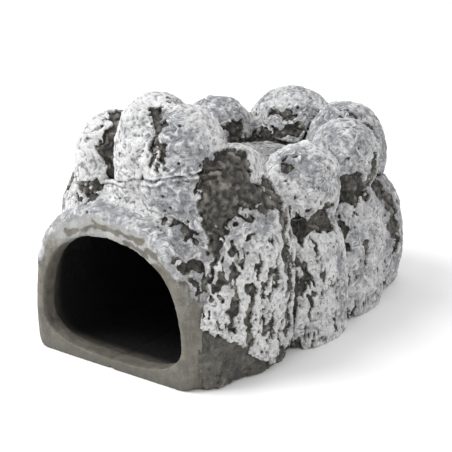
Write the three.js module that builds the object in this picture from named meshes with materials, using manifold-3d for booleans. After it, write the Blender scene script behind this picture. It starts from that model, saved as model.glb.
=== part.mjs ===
// Resin cave ornament for a pond or an aquarium: a hollow tunnel with a D-shaped mouth, faced with
// rounded boulders that stand in columns down both sides and ring a sunken basin on its top.
// Millimetres, +Z up. While it is built, the mouth's front face is the plane y = 0, the seam over the
// mouth is the plane x = 0 and the flat underside is z = 0. The finished group is then moved so that
// its origin is the middle of the underside of its bounding box.
import * as THREE from "three";
import { mergeVertices } from "three/addons/utils/BufferGeometryUtils.js";
import Module from "manifold-3d";

const wasm = await Module();
wasm.setup();

// Driving dimensions
const GLUE_GAP = 0.3; // between two pieces that are bonded face to face
const COLLAR_DEPTH = 8; // the thick lip round the mouth
const COLLAR_EDGE = 3.4; // how far the lip's outer edge is rounded back
const COLLAR_BACK = 15; // where the lip's rounded back edge ends, under the boulders
const CHAMBER_END = 146; // where the tunnel's side walls stop
const REAR_WALL = 3; // thickness of the plate that closes the tunnel
const WALL = 3; // thickness of the tunnel's shell
const PAST = 1; // how far a cut runs past the face it opens
const FAR = 400; // larger than the whole object, for cutting blocks
const WELD = 1e-4; // corners closer than this are one corner

// Sections of the tunnel, as arches: half-width, and the heights of the floor, the waist and the crown
const MOUTH = { halfWidth: 35, floor: 4, waist: 18.1, crown: 53.2, crownPower: 2.3, floorPower: 2.65 };
const COLLAR = { halfWidth: 40.5, floor: -6, waist: 18.1, crown: 64, crownPower: 2.4, floorPower: 5 };
const CHAMBER = { halfWidth: 38, floor: WALL, waist: 18.1, crown: 54, crownPower: 2.6, floorPower: 4 };
const SHELL = {
  ...CHAMBER,
  halfWidth: CHAMBER.halfWidth + WALL,
  floor: -PAST,
  crown: CHAMBER.crown + WALL,
  floorPower: 8,
};
const ARCH_STEPS = 40;
const EDGE_STEPS = 3;

// The bonding line across the front: a plane that rises towards +X above the mouth
const BROW_HEIGHT = 75;
const BROW_SLOPE = 0.2;

// Boulders are squared-off ellipsoids: 2 is an ellipsoid, and a higher power is boxier
const ROUND = 2.2;
const BLOCKY = 3;
const BOULDER_DETAIL = 3;

const lobe = (at, radii, power = ROUND) => ({ at, radii, power });
const mirrored = ({ at: [x, y, z], radii, power }) => ({ at: [-x, y, z], radii, power });

const FRONT_LEFT = lobe([-18, 25, 76], [12, 16, 19.5]);
const FRONT_MIDDLE = lobe([6, 24, 81.5], [13, 18, 24.5]);
const FRONT_RIGHT = lobe([19.5, 23, 79], [15.3, 17, 24]);
const BROW = lobe([0, 28, 50], [41, 22, 27], 2.4);
const RIGHT_SHOULDER = [
  lobe([35, 37, 30], [18, 24, 46], 2.6),
  lobe([35, 32, 66], [10, 20, 22.5]),
  lobe([35, 24, 14], [13.5, 21, 24], BLOCKY),
];
const LEFT_SHOULDER = [
  lobe([-35, 42, 30], [18, 20, 45], 2.6),
  lobe([-28, 34, 64], [10, 14, 18]),
];
const COLUMNS = [
  {
    name: "front",
    knob: lobe([36, 78, 61], [14, 18.5, 18]),
    foot: lobe([36, 75, 16], [19, 20.5, 38], BLOCKY),
  },
  {
    name: "rear",
    knob: lobe([35, 113, 65], [13, 16.5, 17]),
    foot: lobe([35, 111, 19], [16.5, 19.5, 37], BLOCKY),
  },
];
// The knob over the left rear column stands further out than the one on the right
const LEFT_REAR_KNOB = lobe([-36.5, 118, 61.5], [15.5, 18, 20]);
const REAR_KNOB_RIGHT = lobe([18, 142, 59.5], [17.5, 17.5, 22.2]);
const REAR_KNOB_LEFT = lobe([-12, 144, 62], [21.5, 17, 22.5]);
const REAR_FOOT = lobe([27.5, 140.5, 20], [17.5, 21.3, 33], 2.4);
const REAR_MIDDLE = lobe([0, 148, 22], [16, 17, 34], BLOCKY);
const BASIN_FILL = lobe([0, 86, 46], [40, 52, 18], 4);
const BASIN_DISH = lobe([0, 86, 77], [25, 44, 17.5]);

// A three.js geometry as a solid that can be joined and cut
function solidOf(geometry) {
  const bare = geometry.clone();
  bare.deleteAttribute("normal");
  bare.deleteAttribute("uv");
  const welded = mergeVertices(bare, WELD);
  return new wasm.Manifold(
    new wasm.Mesh({
      numProp: 3,
      vertProperties: new Float32Array(welded.attributes.position.array),
      triVerts: new Uint32Array(welded.index.array),
    }),
  );
}

// A solid back as a three.js geometry with flat facets
function geometryOf(solid) {
  const mesh = solid.getMesh();
  const geometry = new THREE.BufferGeometry();
  geometry.setAttribute("position", new THREE.BufferAttribute(mesh.vertProperties, 3));
  geometry.setIndex(new THREE.BufferAttribute(mesh.triVerts, 1));
  const faceted = geometry.toNonIndexed();
  faceted.computeVertexNormals();
  return faceted;
}

function block([x0, y0, z0], [x1, y1, z1]) {
  const box = new THREE.BoxGeometry(x1 - x0, y1 - y0, z1 - z0);
  return solidOf(box.translate((x0 + x1) / 2, (y0 + y1) / 2, (z0 + z1) / 2));
}

// Everything above the sloping bonding line, which starts the given height over the seam
function aboveBrow(height) {
  const half = new THREE.BoxGeometry(FAR, FAR, FAR).translate(0, 0, FAR / 2);
  return solidOf(half.rotateY(-Math.atan(BROW_SLOPE)).translate(0, 0, height));
}

// A solid prism of an arched section from y = front to y = back, its outline a superellipse
// with one power over the waist and another under it, and its end edges rounded by edge
function arch(section, front, back, grow = 0, edge = 0) {
  const { halfWidth, floor, waist, crown, crownPower, floorPower } = section;
  const points = [];
  for (let i = 0; i < ARCH_STEPS; i++) {
    const angle = (2 * Math.PI * i) / ARCH_STEPS;
    const across = Math.cos(angle);
    const up = Math.sin(angle);
    const power = up >= 0 ? crownPower : floorPower;
    const rise = (up >= 0 ? crown - waist : waist - floor) + grow;
    points.push(
      new THREE.Vector2(
        (halfWidth + grow) * Math.sign(across) * Math.abs(across) ** (2 / power),
        waist + rise * Math.sign(up) * Math.abs(up) ** (2 / power),
      ),
    );
  }
  const prism = new THREE.ExtrudeGeometry(new THREE.Shape(points), {
    depth: back - front - 2 * edge,
    bevelEnabled: edge > 0,
    bevelSize: edge,
    bevelOffset: -edge,
    bevelThickness: edge,
    bevelSegments: EDGE_STEPS,
  });
  return solidOf(prism.rotateX(Math.PI / 2).translate(0, back - edge, 0));
}

// One boulder lobe, grown all round by the given amount
function boulder({ at, radii, power }, grow = 0) {
  const geometry = new THREE.IcosahedronGeometry(1, BOULDER_DETAIL);
  const position = geometry.attributes.position;
  const point = new THREE.Vector3();
  for (let i = 0; i < position.count; i++) {
    point.fromBufferAttribute(position, i);
    const size =
      Math.abs(point.x) ** power + Math.abs(point.y) ** power + Math.abs(point.z) ** power;
    point.multiplyScalar(size ** (-1 / power));
    position.setXYZ(i, point.x, point.y, point.z);
  }
  geometry.scale(radii[0] + grow, radii[1] + grow, radii[2] + grow).translate(...at);
  return solidOf(geometry);
}

const joined = (solids) => solids.reduce((sum, solid) => sum.add(solid));
const rock = (lobes, grow = 0) => joined(lobes.map((one) => boulder(one, grow)));

const GROUND = block([-FAR, -FAR, -FAR], [FAR, FAR, 0]);

function tunnelShell() {
  const collar = arch(COLLAR, 0, COLLAR_BACK, 0, COLLAR_EDGE);
  const outside = collar.add(arch(SHELL, COLLAR_DEPTH, CHAMBER_END)).subtract(GROUND);
  const mouth = arch(MOUTH, -PAST, COLLAR_DEPTH + PAST);
  const chamber = arch(CHAMBER, COLLAR_DEPTH, CHAMBER_END + PAST);
  return outside.subtract(mouth).subtract(chamber);
}

// The space that the shell, the rear wall and their glue lines take up, so that boulders stop at it
function tunnelEnvelope() {
  const collar = arch(COLLAR, -FAR, COLLAR_BACK + GLUE_GAP, GLUE_GAP);
  const end = CHAMBER_END + REAR_WALL + 2 * GLUE_GAP;
  return collar.add(arch(SHELL, -FAR, end, GLUE_GAP));
}

const root = new THREE.Group();
const ornament = new THREE.Group();
root.add(ornament);

const MATERIALS = {
  bare_resin: new THREE.MeshStandardMaterial({ color: 0x6e6a5f, roughness: 0.55, metalness: 0 }),
  painted_rock: new THREE.MeshStandardMaterial({ color: 0xa9a9ab, roughness: 0.85, metalness: 0 }),
  basin_rock: new THREE.MeshStandardMaterial({ color: 0x77766f, roughness: 0.85, metalness: 0 }),
};

function place(name, solid, material) {
  const mesh = new THREE.Mesh(geometryOf(solid), MATERIALS[material]);
  mesh.name = name;
  ornament.add(mesh);
}

function addShell() {
  const shell = tunnelShell();
  const seam = GLUE_GAP / 2;
  const right = block([-FAR, -FAR, -FAR], [seam, FAR, FAR]);
  const left = block([-seam, -FAR, -FAR], [FAR, FAR, FAR]);
  place("tunnel_shell_left", shell.subtract(left), "bare_resin");
  place("tunnel_shell_right", shell.subtract(right), "bare_resin");
  const start = CHAMBER_END + GLUE_GAP;
  const wall = arch(SHELL, start, start + REAR_WALL).subtract(GROUND);
  place("tunnel_rear_wall", wall, "bare_resin");
}

// Boulders are laid one after another. Each stops a glue line short of the tunnel, of the ground
// and of every boulder laid before it.
const taken = [tunnelEnvelope(), GROUND];

function lay(name, lobes) {
  place(name, rock(lobes).subtract(joined(taken)), "painted_rock");
  taken.push(rock(lobes, GLUE_GAP));
}

function addFront() {
  const underBrow = block([-FAR, -FAR, -FAR], [FAR, FAR, FAR]).subtract(aboveBrow(BROW_HEIGHT));
  const overBrow = aboveBrow(BROW_HEIGHT - GLUE_GAP);
  const knobs = [FRONT_LEFT, FRONT_MIDDLE, FRONT_RIGHT];
  const brow = [BROW, ...knobs];
  const laidFirst = [...taken];
  ["left", "middle", "right"].forEach((side, i) => {
    place(
      "front_knob_" + side,
      boulder(knobs[i]).subtract(joined([...taken, underBrow])),
      "painted_rock",
    );
    taken.push(boulder(knobs[i], GLUE_GAP));
  });
  place("brow_rock", rock(brow).subtract(joined([...laidFirst, overBrow])), "painted_rock");
  taken.push(rock(brow, GLUE_GAP).subtract(aboveBrow(BROW_HEIGHT)));
}

function addSides() {
  lay("right_shoulder_rock", RIGHT_SHOULDER);
  lay("left_shoulder_rock", LEFT_SHOULDER);
  for (const { name, knob, foot } of COLUMNS) {
    lay("right_" + name + "_knob", [knob]);
    lay("right_" + name + "_boulder", [foot]);
    lay("left_" + name + "_knob", [name === "rear" ? LEFT_REAR_KNOB : mirrored(knob)]);
    lay("left_" + name + "_boulder", [mirrored(foot)]);
  }
}

function addRear() {
  lay("rear_knob_right", [REAR_KNOB_RIGHT]);
  lay("rear_knob_left", [REAR_KNOB_LEFT]);
  lay("rear_boulder_right", [REAR_FOOT]);
  lay("rear_boulder_left", [mirrored(REAR_FOOT)]);
  lay("rear_boulder_middle", [REAR_MIDDLE]);
}

// The dished floor of the basin fills the hollow between the boulders, down to the tunnel's crown
function addBasinFloor() {
  const fill = boulder(BASIN_FILL).subtract(boulder(BASIN_DISH));
  place("basin_floor", fill.subtract(joined(taken)), "basin_rock");
}

addShell();
addFront();
addSides();
addRear();
addBasinFloor();

const box = new THREE.Box3().setFromObject(ornament);
const middle = box.getCenter(new THREE.Vector3());
ornament.position.set(-middle.x, -middle.y, -box.min.z);

export default root;
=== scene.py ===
"""Resin cave ornament: a cast tunnel with a D-shaped mouth, faced with boulders under flaking paint.

Every boulder and every part of the tunnel is one piece. The pieces are first rounded and fused into
a hidden skin, which gives the whole casting one soft outer surface. Each piece is then remeshed
finely, and what shows of it is drawn onto that skin and carved: a grey crust of paint over olive
resin, with pits, bare patches, nodules and a bonding seam.
Lengths are in millimetres here, measured from the middle of the foot of the tunnel's front face,
with x to the right, y inwards and z up. They become metres when they reach Blender.
"""

import itertools
import math

import bmesh
import bpy
import numpy as np
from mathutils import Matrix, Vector


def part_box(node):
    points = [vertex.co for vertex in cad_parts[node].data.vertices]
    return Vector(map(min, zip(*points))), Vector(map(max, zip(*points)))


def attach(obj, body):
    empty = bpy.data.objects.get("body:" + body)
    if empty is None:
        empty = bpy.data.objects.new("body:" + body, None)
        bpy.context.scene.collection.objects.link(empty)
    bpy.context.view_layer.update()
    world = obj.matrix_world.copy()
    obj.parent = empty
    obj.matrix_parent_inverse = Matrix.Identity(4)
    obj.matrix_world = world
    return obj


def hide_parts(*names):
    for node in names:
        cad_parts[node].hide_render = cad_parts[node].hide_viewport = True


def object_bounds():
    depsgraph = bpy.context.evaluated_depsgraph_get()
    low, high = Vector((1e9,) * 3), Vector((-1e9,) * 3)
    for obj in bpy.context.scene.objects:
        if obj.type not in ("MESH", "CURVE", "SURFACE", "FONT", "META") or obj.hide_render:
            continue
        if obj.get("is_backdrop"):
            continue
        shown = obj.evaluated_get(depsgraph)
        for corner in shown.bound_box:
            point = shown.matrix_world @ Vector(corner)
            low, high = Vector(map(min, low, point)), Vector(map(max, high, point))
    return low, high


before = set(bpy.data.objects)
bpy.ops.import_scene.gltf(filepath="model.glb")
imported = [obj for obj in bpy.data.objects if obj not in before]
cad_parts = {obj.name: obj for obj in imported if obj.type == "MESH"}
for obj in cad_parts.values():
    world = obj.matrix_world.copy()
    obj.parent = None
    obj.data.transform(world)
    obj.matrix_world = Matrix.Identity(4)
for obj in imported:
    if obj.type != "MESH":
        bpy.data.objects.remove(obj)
CAD_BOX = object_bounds()

MM = 0.001
ORIGIN = np.array([0.0, CAD_BOX[0].y, CAD_BOX[0].z]) / MM

SHELLS = ["tunnel_shell_left", "tunnel_shell_right", "tunnel_rear_wall"]
BASIN = "basin_floor"

WELD = 0.02  # corners closer than this are one corner
SKIN_VOXEL = 0.8
ROCK_VOXEL = 0.45
SHELL_VOXEL = 0.55
CREASE_ANGLE = math.radians(32)
SHARP_ANGLE = math.radians(62)
ROUNDING = {"rock": 6, "shell": 5}  # smoothing passes before the pieces are fused
FUSE_GROW = 0.35  # the pieces grow by this to meet, and the skin shrinks back by as much
FUSE_SMOOTH = 4
FILLET_SMOOTH = 90  # extra passes where pieces run into each other
HOLLOW_SMOOTH = 160  # passes that show how hollow a place is, by how far they move it
HOLLOW_FROM, HOLLOW_TO = 0.3, 0.95  # how far that is where a crease begins and where it is full
LIP_GROW = 0.7  # how far the tunnel, brow, shoulders and basin reach into their neighbours
ROCK_GROW = 2.0  # knobs and boulders reach further, so that no crack shows between them
LINING_DEPTH = 2.9  # the tunnel's wall is 3 mm, so nothing deeper belongs to its outer skin
SPACING = 0.15  # how much of its sideways offset a vertex keeps, so that no two meet in one point
CREVICE_DEPTH = 5.0  # how far down a crevice between boulders is still drawn up to the skin
AXIS_HEIGHT = 24.0  # of the tunnel
LINING_HALF, LINING_TOP, LINING_END = 39.0, 57.0, 148.0  # a box round the tunnel's inner surface
ARCH_WAIST = 18.0  # the height above which the tunnel's sides curve in
ARCH_POWER = 2.4  # 2 would make the arch an ellipse, and more makes it squarer
ARCH_CENTRE, ARCH_RADIUS = 20.0, 45.0  # of a circle near the arch, for streaks that run round it
SIDES_FROM, REAR_FROM = 30.0, 122.0  # how far out and how far back the outer boulders begin
KNOBS_FROM = 66.0  # the height at which the knobs on them begin
FOOT_HEIGHT = 10.0  # below this the tunnel's front face darkens
BLACK_FROM, BLACK_TO = 7.0, 15.0  # how far inside the mouth the lining turns black

FLOOR_HALF = 3.0  # metres
LENS, SENSOR = 103.54, 36.0  # millimetres
CAMERA_AZIMUTH, CAMERA_ELEVATION = math.radians(36.5), math.radians(18.4)
CAMERA_DISTANCE = 0.5533  # metres
CAMERA_TARGET = Vector((0.0, -0.0064, 0.0383))
LIGHT_TARGET = Vector((0.0, 0.0, 0.05))


# ---- patterns, as functions of position ------------------------------------------------------


def ramp(value, low, high):
    """0 below low, 1 above high, and a smooth step between"""
    t = np.clip((value - low) / (high - low), 0.0, 1.0)
    return t * t * (3.0 - 2.0 * t)


def mix(first, second, share):
    """first where share is 0, second where it is 1"""
    return first + (second - first) * share


def hashed(cells, seed):
    """A repeatable whole number for each cell of a grid"""
    x, y, z = (cells[:, i].astype(np.uint32) for i in range(3))
    h = x * np.uint32(73856093) ^ y * np.uint32(19349663) ^ z * np.uint32(83492791)
    h = (h ^ np.uint32(seed * 7919 + 17)) * np.uint32(2654435761)
    h ^= h >> np.uint32(15)
    h *= np.uint32(2246822519)
    return h ^ (h >> np.uint32(13))


def chance(cells, seed):
    """A repeatable number from 0 to 1 for each cell of a grid"""
    return (hashed(cells, seed) & np.uint32(0xFFFF)).astype(np.float32) / 65535.0


def directions(count):
    """Unit vectors spread evenly over a sphere"""
    turns = np.arange(count) + 0.5
    up = 1 - 2 * turns / count
    round_ = turns * math.pi * (1 + math.sqrt(5))
    level = np.sqrt(1 - up * up)
    return np.stack([np.cos(round_) * level, np.sin(round_) * level, up], 1).astype(np.float32)


DIRECTIONS = directions(64)


def noise(points, size, seed):
    """Smooth noise from about -1 to 1, whose lumps are about size across"""
    p = points / np.asarray(size, np.float32) + np.float32(seed * 3.37)
    base = np.floor(p)
    t = p - base
    base = base.astype(np.int32)
    fade = t * t * t * (t * (t * 6 - 15) + 10)
    total = np.zeros(len(p), np.float32)
    for corner in itertools.product((0, 1), repeat=3):
        corner = np.array(corner, np.int32)
        slope = DIRECTIONS[hashed(base + corner, seed) & np.uint32(63)]
        weight = np.prod(np.where(corner, fade, 1 - fade), axis=1)
        total += weight * np.einsum("ij,ij->i", t - corner, slope)
    return total * 1.7


def rough(points, size, seed, octaves):
    """Noise with finer noise on it, each octave half the size and half the strength"""
    parts = [noise(points, np.asarray(size) / 2**i, seed + i) / 2**i for i in range(octaves)]
    return sum(parts)


def warped(points, size, reach, seed):
    """Points pushed about by noise, so that patterns read there have ragged outlines"""
    push = [noise(points, size, seed + i) for i in range(3)]
    return points + reach * np.stack(push, 1)


def scatter(points, size, seed):
    """Distance to the nearest of scattered centres, in cells, and that centre's own number"""
    p = points / np.asarray(size, np.float32)
    base = np.floor(p).astype(np.int32)
    nearest = np.full(len(p), 9.0, np.float32)
    owner = np.zeros(len(p), np.float32)
    for offset in itertools.product((-1, 0, 1), repeat=3):
        cell = base + np.array(offset, np.int32)
        centre = cell + np.stack([chance(cell, seed + i) for i in range(3)], 1)
        distance = np.linalg.norm(p - centre, axis=1)
        closer = distance < nearest
        nearest = np.where(closer, distance, nearest)
        owner = np.where(closer, chance(cell, seed + 5), owner)
    return nearest, owner


# ---- marks that are in one place --------------------------------------------------------------


def spot(node, share):
    """A point of a node's box, given as shares of its width, depth and height"""
    low, high = (np.array(corner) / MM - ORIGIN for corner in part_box(node))
    return low + (high - low) * np.array(share)


# Bare patches, where the crust has come away: a node, a path in shares of its box, a half-width
BARE = [
    ("front_knob_left", [(0.66, 0.56, 0.97), (0.77, 0.33, 0.86)], 4.0),
    ("front_knob_left", [(0.77, 0.33, 0.86), (0.78, 0.2, 0.69), (0.79, 0.11, 0.54)], 3.2),
    ("front_knob_left", [(0.8, 0.44, 0.86), (0.88, 0.26, 0.63), (0.86, 0.16, 0.45)], 3.0),
    ("front_knob_left", [(0.87, 0.19, 0.5), (0.9, 0.2, 0.35), (0.92, 0.21, 0.2)], 2.2),
    ("front_knob_middle", [(0.7, 0.5, 0.95), (0.76, 0.47, 0.9)], 1.5),
    ("front_knob_right", [(0.02, 0.3, 0.88), (0.08, 0.26, 0.84), (0.2, 0.18, 0.79)], 2.4),
    ("front_knob_right", [(0.2, 0.18, 0.79), (0.28, 0.14, 0.75), (0.32, 0.09, 0.63)], 2.2),
    ("front_knob_right", [(0.32, 0.09, 0.63), (0.24, 0.07, 0.58), (0.23, 0.04, 0.45)], 2.3),
    ("front_knob_right", [(0.34, 0.09, 0.64), (0.39, 0.06, 0.52), (0.5, 0.03, 0.33)], 1.6),
    ("front_knob_right", [(0.3, 0.01, 0.32), (0.26, 0.01, 0.24)], 2.1),
    ("front_knob_middle", [(0.5, 0.3, 0.98), (0.6, 0.33, 0.98)], 1.4),
    ("brow_rock", [(0.22, 0.14, 0.72), (0.3, 0.11, 0.66), (0.34, 0.12, 0.7)], 2.4),
    ("brow_rock", [(0.3, 0.09, 0.64), (0.35, 0.07, 0.58)], 1.9),
    ("brow_rock", [(0.5, 0.1, 0.69), (0.51, 0.1, 0.67)], 1.6),
    ("brow_rock", [(0.69, 0.07, 0.59), (0.69, 0.07, 0.57)], 1.4),
    ("brow_rock", [(0.2, 0.1, 0.55), (0.25, 0.1, 0.53)], 1.4),
    ("brow_rock", [(0.77, 0.1, 0.56), (0.86, 0.15, 0.48), (0.9, 0.17, 0.39)], 1.5),
    ("right_shoulder_rock", [(0.53, 0.28, 0.94), (0.54, 0.23, 0.91)], 2.6),
    ("right_shoulder_rock", [(0.52, 0.23, 0.91), (0.59, 0.2, 0.84), (0.59, 0.18, 0.77)], 5.5),
    ("right_shoulder_rock", [(0.59, 0.18, 0.77), (0.67, 0.24, 0.72)], 3.5),
    ("right_shoulder_rock", [(0.6, 0.38, 0.96), (0.71, 0.42, 0.88), (0.74, 0.42, 0.8)], 6.0),
    ("right_shoulder_rock", [(0.73, 0.34, 0.79), (0.62, 0.24, 0.78)], 4.5),
    ("right_shoulder_rock", [(0.62, 0.28, 0.91), (0.69, 0.31, 0.84)], 4.0),
    ("right_shoulder_rock", [(0.73, 0.68, 0.81), (0.84, 0.7, 0.75), (0.9, 0.73, 0.66)], 3.4),
    ("right_shoulder_rock", [(0.75, 0.49, 0.82), (0.8, 0.58, 0.75)], 3.4),
    ("right_shoulder_rock", [(0.94, 0.72, 0.61), (0.98, 0.72, 0.49), (0.99, 0.74, 0.16)], 2.0),
    ("right_front_boulder", [(0.6, 0.15, 0.95), (0.7, 0.3, 0.95), (0.8, 0.55, 0.95)], 3.0),
    ("right_front_boulder", [(0.8, -0.1, 0.75), (0.8, 0.0, 0.45)], 1.4),
    ("right_front_knob", [(0.82, 0.14, 0.28), (0.96, 0.35, 0.3), (0.99, 0.5, 0.33)], 2.4),
    ("right_front_knob", [(0.5, 0.2, 0.88), (0.62, 0.12, 0.85)], 1.8),
    ("right_rear_boulder", [(0.6, 0.2, 1.0), (0.75, 0.35, 1.0), (0.85, 0.5, 1.0)], 3.8),
    ("right_rear_boulder", [(0.7, 0.05, 0.95), (0.85, 0.0, 0.55), (0.85, 0.0, 0.15)], 2.1),
    ("right_rear_knob", [(0.5, 0.05, 0.6), (0.65, 0.12, 0.25)], 2.0),
    ("right_rear_knob", [(0.75, 0.1, 0.22), (0.98, 0.45, 0.22)], 4.2),
    ("right_rear_knob", [(0.74, 0.06, 0.34), (0.85, 0.17, 0.36), (0.94, 0.3, 0.37)], 2.6),
    ("right_rear_knob", [(0.98, 0.66, 0.56), (1.0, 0.62, 0.4), (0.98, 0.6, 0.25)], 2.8),
    ("rear_knob_right", [(0.6, 0.1, 0.85), (0.85, 0.15, 0.6), (1.0, 0.35, 0.3)], 2.8),
    # The next two strips leave the boulder behind the right-hand column bare and dark: bare resin, and also
    # painted shade beside that column
    ("rear_boulder_right", [(0.78, 0.26, 0.96), (0.86, 0.27, 0.88)], 3.2),
    ("rear_boulder_right", [(0.93, 0.36, 0.8), (0.97, 0.42, 0.6), (1.0, 0.45, 0.4)], 3.4),
    ("left_rear_knob", [(0.9, 0.35, 0.72), (1.0, 0.4, 0.6)], 4.5),
    ("left_rear_knob", [(0.85, 0.2, 0.85), (0.88, 0.24, 0.8)], 1.2),
    ("rear_knob_left", [(0.5, 0.1, 0.8), (0.78, 0.12, 0.8)], 1.8),
    ("rear_knob_left", [(0.42, 0.02, 0.6), (0.7, 0.05, 0.6), (0.85, 0.1, 0.68)], 2.4),
    ("rear_knob_right", [(0.25, 0.05, 0.75), (0.45, 0.1, 0.9)], 1.6),
    ("rear_knob_right", [(0.7, 0.3, 0.94), (0.85, 0.36, 0.85), (0.94, 0.42, 0.75)], 1.7),
    ("tunnel_shell_right", [(0.8, 0.03, 0.77), (0.85, 0.09, 0.7)], 2.0),
    ("tunnel_shell_right", [(0.88, 0.04, 0.67), (0.88, 0.05, 0.62)], 1.6),
]
# Where crust runs unbroken across the crease between two boulders
BRIDGED = [
    ("front_knob_right", [(0.0, 0.3, 0.9), (0.02, 0.1, 0.6), (0.04, 0.05, 0.3)], 6.0),
    ("right_shoulder_rock", [(0.42, 0.42, 1.0), (0.46, 0.3, 0.97), (0.5, 0.22, 0.92)], 4.5),
]
# Where the crust on the sides is more broken than elsewhere
SCUFFED = [
    ("right_shoulder_rock", [(0.72, 0.2, 0.6), (0.85, 0.35, 0.52), (0.94, 0.5, 0.42)], 8.0),
    ("right_front_boulder", [(0.8, 0.05, 0.85), (0.82, 0.05, 0.55)], 5.0),
]
# Olive strokes where the wash is rubbed off the lip, just outside the mouth
RUBBED = [
    ("tunnel_shell_left", [(0.5, 0.0, 0.82), (0.67, 0.0, 0.84), (0.83, 0.0, 0.89), (0.97, 0.0, 0.9)], 1.3),
    ("tunnel_shell_left", [(0.83, 0.0, 0.92), (1.0, 0.0, 0.9)], 0.9),
    ("tunnel_shell_right", [(0.0, 0.0, 0.9), (0.21, 0.0, 0.89), (0.42, 0.0, 0.88)], 1.4),
    ("tunnel_shell_right", [(0.25, 0.0, 0.84), (0.42, 0.0, 0.82), (0.58, 0.0, 0.81)], 1.4),
    ("tunnel_shell_right", [(0.6, 0.0, 0.74), (0.75, 0.0, 0.68), (0.83, 0.0, 0.62)], 2.4),
]
# Where the bare resin is smooth, with no nodules
SMOOTH_BASE = [
    ("right_shoulder_rock", [(0.62, 0.0, 0.0), (0.66, 0.0, 0.2), (0.78, 0.12, 0.15)], 7.5),
    ("right_shoulder_rock", [(0.78, 0.12, 0.15), (0.88, 0.3, 0.06), (0.9, 0.4, 0.0)], 7.5),
]
# Where the crust is darker and bluer: partly a blue-grey wash of paint, partly painted shade on faces turned
# from the light, on the knob and boulder behind the right-hand column, and in the basin
WASH_AND_SHADE = [
    ("front_knob_right", [(0.45, 0.1, 0.8), (0.7, 0.1, 0.5), (0.85, 0.2, 0.2)], 8.5),
    ("brow_rock", [(0.75, 0.1, 0.85), (0.85, 0.1, 0.6)], 7.5),
    ("right_shoulder_rock", [(0.6, 0.1, 0.6), (0.8, 0.5, 0.72)], 8.0),
    ("right_front_knob", [(0.6, 0.3, 0.85), (0.8, 0.5, 0.6)], 7.0),
    ("right_rear_knob", [(0.46, 0.15, 0.87), (0.61, 0.04, 0.67)], 5.0),
    ("rear_boulder_right", [(0.95, 0.4, 0.9), (0.98, 0.5, 0.3)], 9.0),
    ("right_front_boulder", [(0.95, 0.6, 0.7), (0.95, 0.7, 0.2)], 5.0),
    ("left_rear_knob", [(0.5, 0.3, 0.7), (0.6, 0.6, 0.9)], 8.0),
    ("rear_knob_right", [(0.3, 0.2, 0.9), (0.9, 0.4, 0.6)], 14.0),
    ("basin_floor", [(0.2, 0.2, 0.9), (0.8, 0.8, 0.9)], 16.0),
]


def both_sides(paths):
    """The paths, with those on the right-hand columns repeated on the left-hand ones"""
    for node, shares, half_width in paths:
        yield node, shares, half_width
        if node.startswith("right_"):
            flipped = [(1 - x, y, z) for x, y, z in shares]
            yield node.replace("right_", "left_"), flipped, half_width


def along(points, paths):
    """How deep each point is inside the nearest of some thick paths: 1 on it, 0 at its half-width"""
    deepest = np.full(len(points), -9.0, np.float32)
    for node, shares, half_width in both_sides(paths):
        corners = [spot(node, share) for share in shares]
        for start, end in zip(corners, corners[1:]):
            line = end - start
            t = np.clip((points - start) @ line / (line @ line), 0.0, 1.0)
            distance = np.linalg.norm(points - start - t[:, None] * line, axis=1)
            deepest = np.maximum(deepest, 1 - distance / half_width)
    return deepest


def brow_seam():
    """The height of the bonding seam over x = 0, and its slope, from the brow rock's own top face"""
    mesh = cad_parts["brow_rock"].data
    faces = [face for face in mesh.polygons if face.normal.z > 0.97 and face.normal.x < -0.15]
    face = max(faces, key=lambda one: one.area)
    slope = -face.normal.x / face.normal.z
    centre = np.array(face.center) / MM - ORIGIN
    return centre[2] - slope * centre[0], slope


# ---- the carved surface -----------------------------------------------------------------------
# Both surfaces take points of the skin, its normals there, which only the tunnel needs, and how hollow
# it is. They give fields: height is how far the surface stands off the skin, level is below 0 where
# resin is bare and above 0 where it is painted, and the others steer the paint's colours. Of those,
# detail, lip, washed and crease also carry painted highlights and painted shade.


def crumpled(points, size, seed):
    """Broad humps with sharp valleys between them, about -1 to 1"""
    humps = np.abs(noise(points, size, seed))
    small_humps = np.abs(noise(points, np.asarray(size) / 2, seed + 1))
    return 2.2 * humps + 1.1 * small_humps - 1


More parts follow.
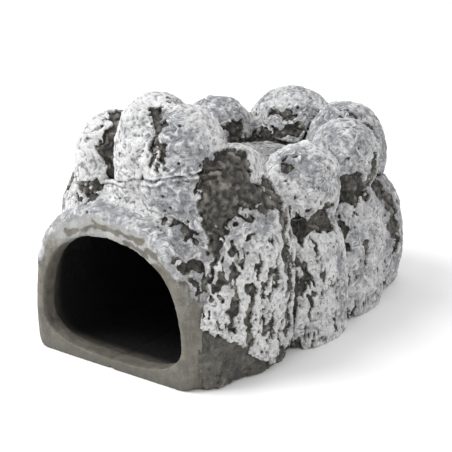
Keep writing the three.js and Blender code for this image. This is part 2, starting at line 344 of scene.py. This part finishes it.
def rock_surface(at, normal, hollow):
    """The fields of the boulders: a ragged crust of paint, torn away in patches, over lumpy resin"""
    torn = warped(warped(at, 4.5, 1.3, 1), 1.5, 0.35, 4)
    broad = noise(at, 15.0, 11)
    blotch = rough(torn, 5.5, 21, 3)
    upright = noise(torn, (3.3, 3.3, 8.0), 31) + 0.5 * noise(torn, (1.7, 1.7, 3.6), 32)
    streaks = noise(at, (1.1, 1.1, 11.0), 41)
    ragged = noise(at, (1.2, 1.2, 2.4), 42)
    out = np.maximum(np.abs(at[:, 0]) - SIDES_FROM, at[:, 1] - REAR_FROM) / 8
    side = ramp(out, 0.0, 1.0) * ramp(KNOBS_FROM - at[:, 2] + 6 * broad, -5, 5)

    front = 0.62 + 0.3 * broad + 0.34 * blotch
    broken = mix(0.24, 0.46, ramp(at[:, 1], 52, 68)) + 0.24 * broad + 0.6 * upright + 0.2 * blotch
    level = mix(front, broken + 0.26 * ragged + 0.16 * streaks, side)
    near_lip = ramp(-at[:, 1], -22, -17) * ramp(-at[:, 2], -76, -70)
    bridged = np.maximum(near_lip, ramp(along(at, BRIDGED), 0.0, 0.4))
    # crease: in deep creases the crust is bare and the surface sinks; the material also darkens the colour
    # there as painted shade
    crease = ramp(hollow, HOLLOW_FROM, HOLLOW_TO) * (1 - bridged)
    level -= 1.4 * crease + 0.34 * ramp(along(torn, SCUFFED), 0.0, 0.6)
    foot = at[:, 2] + 5 * noise(at, 9.0, 51) + 5 * streaks
    low = ramp(-foot, -9, -3) * ramp(np.abs(at[:, 0]), 30, 36)
    level -= mix(1.0, 0.3, ramp(at[:, 1], 55, 66)) * low
    bare = along(torn + 1.2 * (torn - at), BARE) + 0.35 * blotch + 0.3 * noise(at, 2.4, 52)
    patch = ramp(bare, -0.3, 0.25)
    level = np.minimum(level, mix(level, -0.8, patch))
    # washed: a darker, bluer crust, partly a blue-grey wash of paint and partly painted shade
    washed = ramp(along(torn, WASH_AND_SHADE) + 0.5 * blotch + 0.4 * broad, -0.6, 0.5)
    # painted shade: darker still towards the back, on the sides and rear knobs turned from the light
    behind = at[:, 1] + 8 * broad
    washed = np.maximum(washed, 0.25 * ramp(behind, 26, 60) + 0.3 * ramp(behind, 80, 100))
    smooth = ramp(along(torn, SMOOTH_BASE) + 0.2 * streaks, -0.1, 0.35)
    level = mix(level, -0.7 + 0.5 * streaks + 0.2 * ragged, smooth)

    crust = ramp(level, -0.07, 0.1)
    marked = ramp(noise(at, 5.0, 64), -0.05, 0.3)
    # lip: the raised edge of the crust, which the material also paints bright as a painted highlight
    lip = np.exp(-(((level - 0.1) / 0.12) ** 2)) * ramp(noise(at, 3.5, 65), -0.35, 0.2)
    layers = 1.6 * rough(torn, (8.0, 8.0, 5.5), 61, 2)
    part = layers - np.floor(layers)
    terrace = np.floor(layers) + ramp(part, 0.0, 0.3)
    grain = noise(at, 0.95, 71)
    fine = noise(at, 1.9, 72)
    hole, lot = scatter(at, 4.2, 81)
    pin = ramp(0.17 - hole, 0.0, 0.05) * (lot > 0.35)
    wrinkles = crumpled(torn, 3.4, 91)
    lumps = crumpled(torn, 4.6, 94) * (1 - smooth)

    crust_relief = 0.2 * terrace + mix(0.3, 0.2, side) * wrinkles
    crust_relief += 0.2 * fine + 0.16 * grain - 0.9 * pin + 0.18 * lip
    bare_relief = 0.8 * lumps - 0.4 + 0.3 * fine + 0.14 * grain
    swell = 0.75 * noise(at, 13.0, 101) + 0.5 * noise(at, 6.5, 102) + 0.25 * noise(at, 3.2, 103)
    height = swell + mix(bare_relief, 0.85 + crust_relief, crust) - 0.7 * crease
    # detail: the relief's fine shape, which the material paints lighter on tops and ridges and darker in
    # valleys and pinholes, as painted highlight and painted shade
    crust_detail = mix(0.45, 0.3, side) * wrinkles + 0.35 * fine + 0.35 * grain - 1.8 * pin
    detail = mix(0.8 * lumps + 0.45 * fine + 0.3 * grain, crust_detail, crust)
    fields = {"height": height, "level": level, "detail": detail, "lip": lip, "crusted": np.ones_like(level)}
    return {**fields, "layers": layers, "marked": marked, "washed": washed, "crease": crease}


def arch_reach(at):
    """How far out a point is on the tunnel's arch: 1 on its outer face"""
    corner = np.array(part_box("tunnel_shell_right")[1]) / MM - ORIGIN
    across = np.abs(at[:, 0]) / corner[0]
    up = np.maximum(at[:, 2] - ARCH_WAIST, 0) / (corner[2] - ARCH_WAIST)
    return (across**ARCH_POWER + up**ARCH_POWER) ** (1 / ARCH_POWER)


def shell_surface(at, normal, hollow):
    """The fields of the tunnel: smooth, with a thin wash of paint, and crust on its shoulders"""
    broad = noise(at, 12.0, 11)
    torn = warped(at, 4.0, 0.8, 1)
    fine = noise(at, 1.8, 111)
    grain = noise(at, 0.9, 112)
    turn = ARCH_RADIUS * np.arctan2(torn[:, 0], torn[:, 2] - ARCH_CENTRE)
    reach = np.hypot(torn[:, 0], torn[:, 2] - ARCH_CENTRE)
    round_arch = np.stack([turn, torn[:, 1], reach], 1)
    streak = noise(round_arch, (13.0, 5.0, 2.0), 121) + 0.4 * noise(round_arch, (6.0, 3.0, 1.1), 122)
    crown = ramp(at[:, 2] + 4.0 * broad, 30, 62)
    rubbed = along(mix(at, torn, 1.6), RUBBED) + 0.9 * streak + 0.35 * fine + 0.3 * broad
    level = -0.8 + 1.35 * crown - 1.15 * ramp(rubbed, -0.3, 0.8) * ramp(-at[:, 1], -6, -2)
    level += 0.2 * broad + 0.12 * fine + 0.15 * streak
    seam = np.exp(-((at[:, 0] / 0.28) ** 2)) * ramp(-normal[:, 1], -0.2, 0.4)
    height = 0.22 * broad + 0.09 * fine + 0.05 * grain - 0.1 * seam + 0.12 * ramp(level, -0.2, 0.3)
    none = np.zeros_like(level)
    smooth = {"height": height, "level": level, "detail": 0.6 * fine + 0.4 * grain, "lip": none}
    smooth = {**smooth, "layers": none, "marked": none, "washed": none, "crease": none}

    over = arch_reach(at) + 0.03 * broad + 0.04 * noise(torn, 4.0, 123)
    over = ramp(over, 0.9, 0.96) * ramp(at[:, 2] + 5 * broad, 30, 44)
    rough_coat = rock_surface(at, normal, hollow)
    mixed = {name: mix(value, rough_coat[name], over) for name, value in smooth.items()}
    mixed["washed"] = np.maximum(mixed["washed"], 0.85)
    return {**mixed, "crusted": over}


def carve_seam(at, fields):
    """Cuts the bonding seam over the brow: two fine parallel lines that fade in and out"""
    base, slope = SEAM
    off = at[:, 2] - base - slope * at[:, 0] + 0.9 * noise(at, 9.0, 131)
    front = ramp(-at[:, 1], -24, -18) * ramp(noise(at, 7.0, 132), -0.8, -0.1)
    groove = np.exp(-((off / 0.42) ** 2)) + 0.6 * np.exp(-(((off + 2.3) / 0.36) ** 2))
    ridge = np.exp(-(((off - 1.05) / 0.5) ** 2)) + np.exp(-(((off + 1.1) / 0.5) ** 2))
    fields["height"] += front * (0.3 * ridge - 0.7 * groove)
    # through detail, the seam's ridges are painted lighter and its grooves darker: painted highlight and
    # painted shade
    fields["detail"] += front * (0.7 * ridge - 1.1 * groove)


# ---- meshes -----------------------------------------------------------------------------------


def modify(obj, kind, **settings):
    """Adds a modifier with its settings"""
    modifier = obj.modifiers.new(kind.lower(), kind)
    for name, value in settings.items():
        setattr(modifier, name, value)
    return modifier


def apply_modifiers(obj):
    """Gives an object the mesh that its modifiers make, and removes them"""
    graph = bpy.context.evaluated_depsgraph_get()
    made = bpy.data.meshes.new_from_object(obj.evaluated_get(graph))
    old = obj.data
    obj.modifiers.clear()
    obj.data = made
    bpy.data.meshes.remove(old)


def read(mesh, name, width, kind="vector"):
    """A point attribute as an array, one row for each vertex"""
    values = np.empty(len(mesh.vertices) * width, np.float32)
    mesh.attributes[name].data.foreach_get(kind, values)
    return values.reshape(-1, width) if width > 1 else values


def positions(mesh):
    """Where the vertices are, in this script's millimetres"""
    return read(mesh, "position", 3) / MM - ORIGIN.astype(np.float32)


def move_to(mesh, points):
    """Moves the vertices to points given in this script's millimetres"""
    metres = ((points + ORIGIN) * MM).astype(np.float32)
    mesh.attributes["position"].data.foreach_set("vector", metres.ravel())
    mesh.update()


def normals(mesh):
    values = np.empty(len(mesh.vertices) * 3, np.float32)
    mesh.vertex_normals.foreach_get("vector", values)
    return values.reshape(-1, 3)


def store(mesh, name, values, kind="FLOAT", field="value"):
    """Keeps an array as a point attribute"""
    attribute = mesh.attributes.get(name) or mesh.attributes.new(name, kind, "POINT")
    attribute.data.foreach_set(field, np.ascontiguousarray(values, np.float32).ravel())


def welded_copy(node, name):
    """A new object with a node's mesh, its split corners joined and its sharp edges marked"""
    mesh = bpy.data.meshes.new(name)
    work = bmesh.new()
    work.from_mesh(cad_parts[node].data)
    bmesh.ops.remove_doubles(work, verts=work.verts, dist=WELD * MM)
    crease = work.edges.layers.float.new("crease_edge")
    for edge in work.edges:
        if len(edge.link_faces) == 2 and edge.calc_face_angle() > CREASE_ANGLE:
            edge[crease] = 1.0
    work.to_mesh(mesh)
    work.free()
    obj = bpy.data.objects.new(name, mesh)
    bpy.context.scene.collection.objects.link(obj)
    return obj


def islands(work):
    """The vertices of each separate surface of a bmesh"""
    unseen = set(work.verts)
    while unseen:
        island, waiting = [], [unseen.pop()]
        while waiting:
            vert = waiting.pop()
            island.append(vert)
            for edge in vert.link_edges:
                other = edge.other_vert(vert)
                if other in unseen:
                    unseen.discard(other)
                    waiting.append(other)
        yield island


def drop_specks(mesh):
    """Keeps only the largest surface: a voxel remesh leaves specks beside thin edges"""
    work = bmesh.new()
    work.from_mesh(mesh)
    specks = sorted(islands(work), key=len)[:-1]
    if specks:
        bmesh.ops.delete(work, geom=list(itertools.chain(*specks)), context="VERTS")
        work.to_mesh(mesh)
    work.free()


def rounded_copy(node):
    """One piece for the skin: its facets smoothed away, then its edges softened"""
    obj = welded_copy(node, node + "_round")
    passes = ROUNDING["shell" if node in SHELLS else "rock"]
    modify(obj, "SUBSURF", levels=2, render_levels=2)
    modify(obj, "REMESH", mode="VOXEL", voxel_size=SKIN_VOXEL * MM)
    modify(obj, "SMOOTH", factor=0.5, iterations=passes)
    modify(obj, "DISPLACE", strength=FUSE_GROW * MM, mid_level=0.0)
    apply_modifiers(obj)
    return obj


def fused(objects, name):
    """One new object with the meshes of several, which go"""
    work = bmesh.new()
    for obj in objects:
        work.from_mesh(obj.data)
        bpy.data.objects.remove(obj)
    mesh = bpy.data.meshes.new(name)
    work.to_mesh(mesh)
    work.free()
    obj = bpy.data.objects.new(name, mesh)
    bpy.context.scene.collection.objects.link(obj)
    return obj


def fillet_weights(at):
    """1 where pieces run into each other: lip and brow, middle and right knobs, basin and its walls"""
    near = ramp(0.2 - np.abs(arch_reach(at) - 1.02), 0.0, 0.08)
    under_brow = near * ramp(at[:, 1], 4, 8) * ramp(-at[:, 1], -22, -16) * ramp(at[:, 2], 30, 42)
    knob_edge = spot("front_knob_right", (0.0, 0.0, 0.0))
    between = ramp(6.5 - np.abs(at[:, 0] - knob_edge[0]), 0, 2) * ramp(at[:, 2], 68, 74)
    between *= ramp(-at[:, 1], -26, -20)
    in_basin = ramp(31 - np.abs(at[:, 0]), 0, 4) * ramp(at[:, 1], 42, 48) * ramp(-at[:, 1], -134, -128)
    in_basin *= ramp(at[:, 2], 50, 54) * ramp(-at[:, 2], -76, -70)
    return np.maximum(np.maximum(under_brow, between), in_basin)


def softened_by(obj, passes):
    """How far each vertex would move outwards if its surface were smoothed: its hollow, in mm"""
    modify(obj, "SMOOTH", factor=0.5, iterations=passes)
    graph = bpy.context.evaluated_depsgraph_get()
    softer = positions(obj.evaluated_get(graph).data)
    obj.modifiers.clear()
    return np.einsum("ij,ij->i", softer - positions(obj.data), normals(obj.data))


def make_skin():
    """The whole casting's soft surface, with how hollow it is at each point, in millimetres"""
    skin = fused([rounded_copy(node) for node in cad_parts], "skin")
    modify(skin, "REMESH", mode="VOXEL", voxel_size=SKIN_VOXEL * MM)
    apply_modifiers(skin)
    hollow = softened_by(skin, HOLLOW_SMOOTH)
    store(skin.data, "hollow", hollow)
    weights = np.maximum(fillet_weights(positions(skin.data)), 0.8 * ramp(hollow, 0.5, 1.2))
    group = skin.vertex_groups.new(name="fillet")
    for index in np.flatnonzero(weights > 0.01):
        group.add([int(index)], float(weights[index]), "REPLACE")
    modify(skin, "SMOOTH", factor=0.5, iterations=FILLET_SMOOTH, vertex_group="fillet")
    modify(skin, "SMOOTH", factor=0.5, iterations=FUSE_SMOOTH)
    modify(skin, "DISPLACE", strength=-FUSE_GROW * MM, mid_level=0.0)
    apply_modifiers(skin)
    store(skin.data, "skin_normal", normals(skin.data), "FLOAT_VECTOR", "vector")
    return skin


def add(tree, kind, inputs=(), **settings):
    """A node with its settings, and its inputs either set or linked"""
    made = tree.nodes.new(kind)
    for name, value in settings.items():
        setattr(made, name, value)
    for socket, value in dict(inputs).items():
        if isinstance(value, bpy.types.NodeSocket):
            tree.links.new(value, made.inputs[socket])
        else:
            made.inputs[socket].default_value = value
    return made


def skin_reader(skin):
    """Geometry nodes that store, on each vertex, the skin's nearest point, normal and hollow"""
    tree = bpy.data.node_groups.new("read_skin", "GeometryNodeTree")
    for way in ("INPUT", "OUTPUT"):
        tree.interface.new_socket("Geometry", in_out=way, socket_type="NodeSocketGeometry")
    flow = tree.nodes.new("NodeGroupInput").outputs[0]
    info = tree.nodes.new("GeometryNodeObjectInfo")
    info.inputs["Object"].default_value = skin
    readings = [
        ("skin_at", "FLOAT_VECTOR", add(tree, "GeometryNodeInputPosition").outputs[0]),
        ("skin_normal", "FLOAT_VECTOR", None),
        ("hollow", "FLOAT", None),
    ]
    for name, kind, source in readings:
        if source is None:
            named = add(tree, "GeometryNodeInputNamedAttribute", {"Name": name}, data_type=kind)
            source = named.outputs["Attribute"]
        nearest = add(tree, "GeometryNodeSampleNearestSurface", data_type=kind)
        tree.links.new(info.outputs["Geometry"], nearest.inputs["Mesh"])
        tree.links.new(source, nearest.inputs["Value"])
        keep = add(tree, "GeometryNodeStoreNamedAttribute", data_type=kind, domain="POINT")
        keep.inputs["Name"].default_value = name
        tree.links.new(flow, keep.inputs["Geometry"])
        tree.links.new(nearest.outputs["Value"], keep.inputs["Value"])
        flow = keep.outputs["Geometry"]
    tree.links.new(flow, tree.nodes.new("NodeGroupOutput").inputs[0])
    return tree


def on_lining(at, normal):
    """1 on the part of the skin that is the tunnel's own lining, which faces the tunnel's axis"""
    inward = -(at[:, 0] * normal[:, 0] + (at[:, 2] - AXIS_HEIGHT) * normal[:, 2])
    inside = (np.abs(at[:, 0]) < LINING_HALF) & (at[:, 2] < LINING_TOP) & (at[:, 1] < LINING_END)
    return ramp(inward, 0.0, 4.0) * inside


def make_piece(node, reader, surface, voxel, deepest):
    """The finished piece for a node: its outside, down to deepest under the skin, drawn onto it"""
    obj = welded_copy(node, "cast_" + node)
    grow = ROCK_GROW if "knob" in node or "boulder" in node else LIP_GROW
    modify(obj, "DISPLACE", strength=grow * MM, mid_level=0.0)
    modify(obj, "REMESH", mode="VOXEL", voxel_size=voxel * MM, use_smooth_shade=True)
    modify(obj, "NODES", node_group=reader)
    apply_modifiers(obj)
    mesh = obj.data
    drop_specks(mesh)
    at = positions(mesh)
    goal = read(mesh, "skin_at", 3) / MM - ORIGIN.astype(np.float32)
    out = read(mesh, "skin_normal", 3)
    hollow = read(mesh, "hollow", 1, "value")
    away = np.linalg.norm(at - goal, axis=1)
    facing = np.einsum("ij,ij->i", normals(mesh), out)
    share = ramp(-away, -deepest, 1 - deepest) * ramp(facing, -0.35, 0.0)
    if deepest > LINING_DEPTH:
        share *= 1 - on_lining(goal, out)
    shown = np.flatnonzero(share > 0)
    fields = surface(goal[shown], out[shown], hollow[shown])
    carve_seam(goal[shown], fields)
    apart = at[shown] - goal[shown]
    apart -= out[shown] * np.einsum("ij,ij->i", apart, out[shown])[:, None]
    target = goal[shown] + SPACING * apart + out[shown] * fields["height"][:, None]
    at[shown] = mix(at[shown], target, share[shown, None])
    at[:, 2] = np.maximum(at[:, 2], 0.0)
    move_to(mesh, at)
    mesh.set_sharp_from_angle(angle=SHARP_ANGLE)
    for name in ("level", "detail", "lip", "layers", "marked", "washed", "crease", "crusted"):
        values = np.zeros(len(at), np.float32)
        values[shown] = fields[name]
        store(mesh, name, values)
    for name in ("skin_at", "skin_normal"):
        mesh.attributes.remove(mesh.attributes[name])
    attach(obj, "root")
    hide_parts(node)
    return obj


# ---- materials --------------------------------------------------------------------------------


def colour(hex_code):
    """A web colour as the linear numbers that shaders take"""
    parts = [int(hex_code[i : i + 2], 16) / 255 for i in (0, 2, 4)]
    linear = [c / 12.92 if c <= 0.04045 else ((c + 0.055) / 1.055) ** 2.4 for c in parts]
    return (*linear, 1.0)


class Paint:
    """Short ways to add the few kinds of shader node that the materials use"""

    def __init__(self, name):
        self.material = bpy.data.materials.new(name)
        self.material.use_nodes = True
        self.tree = self.material.node_tree
        self.shader = self.tree.nodes["Principled BSDF"]
        self.place = add(self.tree, "ShaderNodeTexCoord").outputs["Object"]

    def attribute(self, name):
        return add(self.tree, "ShaderNodeAttribute", attribute_name=name).outputs["Fac"]

    def noise(self, size, detail=4.0, stretch=(1.0, 1.0, 1.0)):
        """Noise about size millimetres across, from 0 to 1"""
        scale = tuple(1.0 / (size * MM * axis) for axis in stretch)
        where = add(self.tree, "ShaderNodeMapping", {"Vector": self.place, "Scale": scale})
        inputs = {"Vector": where.outputs[0], "Scale": 1.0, "Detail": detail, "Roughness": 0.6}
        return add(self.tree, "ShaderNodeTexNoise", inputs).outputs["Fac"]

    def math(self, operation, *values):
        return add(self.tree, "ShaderNodeMath", enumerate(values), operation=operation).outputs[0]

    def span(self, value, low, high, start=0.0, end=1.0):
        """value carried from low..high to start..end, smoothly and held at the ends"""
        inputs = dict(enumerate([value, low, high, start, end]))
        made = add(self.tree, "ShaderNodeMapRange", inputs, interpolation_type="SMOOTHSTEP")
        return made.outputs[0]

    def peak(self, value, middle, half_width, height):
        """height where value is at the middle, falling to nothing half_width either side"""
        away = self.math("ABSOLUTE", self.math("SUBTRACT", value, middle))
        return self.span(away, half_width, 0.0, 0.0, height)

    def blend(self, share, first, second, how="MIX"):
        inputs = {0: share, 6: first, 7: second}
        made = add(self.tree, "ShaderNodeMix", inputs, data_type="RGBA", blend_type=how)
        return made.outputs[2]

    def finish(self, base, roughness, relief, depth):
        bump = add(self.tree, "ShaderNodeBump", {"Height": relief, "Distance": depth * MM})
        self.tree.links.new(base, self.shader.inputs["Base Color"])
        self.tree.links.new(roughness, self.shader.inputs["Roughness"])
        self.tree.links.new(bump.outputs[0], self.shader.inputs["Normal"])
        return self.material


def paint_crust(p, grit, mottle):
    """The colour and cover of the grey crust over rough olive resin, with painted highlights on its relief
    and painted shade in its valleys, pits and creases
    """
    level, detail, washed = p.attribute("level"), p.attribute("detail"), p.attribute("washed")
    crease, lip, layers = p.attribute("crease"), p.attribute("lip"), p.attribute("layers")
    marked = p.attribute("marked")
    cloud = p.noise(9.0, 4.0)

    resin = p.blend(p.span(cloud, 0.4, 0.6), colour("34322d"), colour("4b4841"))
    resin = p.blend(p.span(mottle, 0.5, 0.7, 0.0, 0.6), resin, colour("6d6a62"))
    # painted highlight on the tops of the resin's lumps and painted shade in the valleys between them
    resin = p.blend(p.span(detail, 0.1, 0.9, 0.0, 0.8), resin, colour("7b7871"))
    resin = p.blend(p.span(detail, -0.05, -0.5, 0.0, 0.85), resin, colour("1e1d1a"))
    resin = p.blend(p.span(grit, 0.58, 0.75, 0.0, 0.45), resin, colour("918f88"))

    wash = p.math("ADD", p.math("MULTIPLY", cloud, 0.6), p.math("MULTIPLY", mottle, 0.4))
    # washed darkens the crust towards blue-grey: partly a wash of paint, partly painted shade
    wash = p.math("ADD", wash, p.math("MULTIPLY", washed, 0.24))
    crust = p.blend(p.span(wash, 0.48, 0.8), colour("cbcbcb"), colour("818286"))
    # painted highlight on the crust's ridges and painted shade in its valleys
    crust = p.blend(p.span(detail, 0.1, 0.7, 0.0, 0.85), crust, colour("dadada"))
    crust = p.blend(p.span(detail, -0.03, -0.55, 0.0, 0.8), crust, colour("5d5e61"))
    # where marked, painted highlight and painted shade along the edges of the crust's terrace steps
    part = p.math("FRACT", p.math("ADD", layers, p.math("MULTIPLY", mottle, 0.5)))
    terrace_highlight = p.math("MULTIPLY", marked, p.peak(part, 0.5, 0.16, 0.6))
    dark = p.math("MULTIPLY", marked, p.peak(part, 0.25, 0.12, 0.7))
    crust = p.blend(terrace_highlight, crust, colour("dfdfdf"))
    crust = p.blend(dark, crust, colour("4c4c4e"))
    # painted shade, darkest in pinholes and the deepest valleys
    crust = p.blend(p.span(detail, -0.8, -1.3), crust, colour("2d2c29"))
    crust = p.blend(p.span(grit, 0.55, 0.72, 0.0, 0.55), crust, colour("dededf"))
    crust = p.blend(p.span(grit, 0.46, 0.32, 0.0, 0.65), crust, colour("626468"))
    crust = p.blend(p.span(level, 0.6, 0.0, 0.0, 0.5), crust, colour("7a7873"))
    # painted highlight along the crust's raised lip
    crust = p.blend(p.math("MULTIPLY", lip, 0.7), crust, colour("e2e2e1"))

    edge = p.math("ADD", level, p.math("MULTIPLY", p.math("SUBTRACT", grit, 0.5), 0.45))
    cover = p.span(edge, -0.05, 0.07)
    base = p.blend(cover, resin, crust)
    # painted shade: the colour darkens towards near black in creases
    base = p.blend(p.span(crease, 0.2, 1.0, 0.0, 0.7), base, colour("25231f"))
    return base, cover


def rock_material(name, shade):
    """Grey paint crust over olive resin; shade darkens the whole of it"""
    p = Paint(name)
    grit, mottle = p.noise(0.7, 5.0), p.noise(2.6, 5.0)
    base, cover = paint_crust(p, grit, mottle)
    # painted shade: the colour is multiplied darker by the share given as shade
    base = p.blend(shade, base, colour("8a8880"), "MULTIPLY")
    roughness = p.span(cover, 0.0, 1.0, 0.6, 0.88)
    relief = p.math("ADD", grit, p.math("MULTIPLY", cover, 0.8))
    return p.finish(base, roughness, relief, 0.35)


def resin_material(name):
    """Smooth olive-grey resin with a thin pale wash where the level is high; black inside"""
    p = Paint(name)
    level = p.attribute("level")
    grit, mottle = p.noise(0.7, 5.0), p.noise(2.6, 5.0)
    brushed = p.noise(1.6, 4.0, (1.0, 1.0, 4.0))
    cloud = p.noise(5.0, 4.0)
    base = p.blend(p.span(cloud, 0.35, 0.65), colour("56534b"), colour("6d6960"))
    base = p.blend(p.span(brushed, 0.45, 0.75, 0.0, 0.5), base, colour("7f7b72"))
    base = p.blend(p.span(grit, 0.58, 0.75, 0.0, 0.6), base, colour("a09c93"))
    base = p.blend(p.span(grit, 0.44, 0.3, 0.0, 0.55), base, colour("3e3c36"))
    edge = p.math("ADD", level, p.math("MULTIPLY", p.math("SUBTRACT", grit, 0.5), 0.6))
    edge = p.math("ADD", edge, p.math("MULTIPLY", p.math("SUBTRACT", mottle, 0.5), 0.8))
    washed = p.blend(p.span(cloud, 0.35, 0.7), colour("8c8c8a"), colour("a3a3a1"))
    washed = p.blend(p.span(grit, 0.5, 0.7, 0.0, 0.5), washed, colour("bfbfbe"))
    base = p.blend(p.span(edge, -0.5, 0.4), base, washed)
    crust, cover = paint_crust(p, grit, mottle)
    base = p.blend(p.span(p.attribute("crusted"), 0.35, 0.65), base, crust)
    place = add(p.tree, "ShaderNodeSeparateXYZ", {0: p.place}).outputs
    foot = p.span(place["Z"], (ORIGIN[2] + FOOT_HEIGHT) * MM, ORIGIN[2] * MM, 0.0, 0.6)
    base = p.blend(foot, base, colour("4a4740"))
    deep = p.span(place["Y"], (ORIGIN[1] + BLACK_FROM) * MM, (ORIGIN[1] + BLACK_TO) * MM)
    dark = p.math("MULTIPLY", deep, p.attribute("lining"))
    base = p.blend(dark, base, colour("0b0b0b"))
    roughness = p.span(grit, 0.3, 0.7, 0.5, 0.68)
    return p.finish(base, roughness, p.math("ADD", grit, brushed), 0.15)


# ---- the ornament -----------------------------------------------------------------------------

SEAM = brow_seam()


def mark_lining(obj):
    """Marks the tunnel's inner surface, which the material turns black"""
    store(obj.data, "lining", on_lining(positions(obj.data), normals(obj.data)))


def build():
    painted = rock_material("painted_rock", 0.0)
    # the basin's rock is darkened by half as painted shade
    basin = rock_material("basin_rock", 0.5)
    resin = resin_material("bare_resin")
    skin = make_skin()
    reader = skin_reader(skin)
    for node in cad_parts:
        if node in SHELLS:
            piece = make_piece(node, reader, shell_surface, SHELL_VOXEL, LINING_DEPTH)
            mark_lining(piece)
            material, slot = resin, "bare_resin"
        elif node == BASIN:
            piece = make_piece(node, reader, rock_surface, SHELL_VOXEL, CREVICE_DEPTH)
            material, slot = basin, "basin_rock"
        else:
            piece = make_piece(node, reader, rock_surface, ROCK_VOXEL, CREVICE_DEPTH)
            material, slot = painted, "painted_rock"
        piece.data.materials.clear()
        piece.data.materials.append(material)
    bpy.data.objects.remove(skin)


# ---- floor, lights and camera -----------------------------------------------------------------


def make_floor():
    mesh = bpy.data.meshes.new("floor")
    signs = [(-1, -1), (1, -1), (1, 1), (-1, 1)]
    corners = [(x * FLOOR_HALF, y * FLOOR_HALF, 0) for x, y in signs]
    mesh.from_pydata(corners, [], [(0, 1, 2, 3)])
    floor = bpy.data.objects.new("floor", mesh)
    bpy.context.scene.collection.objects.link(floor)
    material = bpy.data.materials.new("floor")
    material.use_nodes = True
    shader = material.node_tree.nodes["Principled BSDF"]
    shader.inputs["Base Color"].default_value = colour("f4f4f4")
    shader.inputs["Roughness"].default_value = 0.9
    mesh.materials.append(material)
    floor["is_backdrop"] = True


def aim(obj, target):
    way = target - obj.location
    obj.rotation_euler = way.to_track_quat("-Z", "Y").to_euler()


def softbox(name, place, size, watts):
    light = bpy.data.lights.new(name, "AREA")
    light.shape = "DISK"
    light.size = size
    light.energy = watts
    obj = bpy.data.objects.new(name, light)
    obj.location = place
    aim(obj, LIGHT_TARGET)
    bpy.context.scene.collection.objects.link(obj)


def light_studio():
    world = bpy.data.worlds.new("studio")
    world.use_nodes = True
    sky = world.node_tree.nodes["Background"]
    sky.inputs["Color"].default_value = (1, 1, 1, 1)
    sky.inputs["Strength"].default_value = 0.95
    bpy.context.scene.world = world
    bpy.context.scene.view_settings.view_transform = "Standard"
    softbox("key", (-0.5, -0.45, 0.9), 0.7, 10.0)
    softbox("fill", (0.9, -0.55, 0.5), 0.8, 1.0)


def make_camera():
    level = math.cos(CAMERA_ELEVATION)
    right = math.sin(CAMERA_AZIMUTH) * level
    front = math.cos(CAMERA_AZIMUTH) * level
    back = Vector((right, -front, math.sin(CAMERA_ELEVATION)))
    camera = bpy.data.cameras.new("camera")
    camera.lens = LENS
    camera.sensor_width = SENSOR
    obj = bpy.data.objects.new("camera", camera)
    obj.location = CAMERA_TARGET + CAMERA_DISTANCE * back
    aim(obj, CAMERA_TARGET)
    bpy.context.scene.collection.objects.link(obj)
    bpy.context.scene.camera = obj


build()
make_floor()
light_studio()
make_camera()

sizes = {"cad": CAD_BOX, "visual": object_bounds()}
{name: [list(corner) for corner in box] for name, box in sizes.items()}
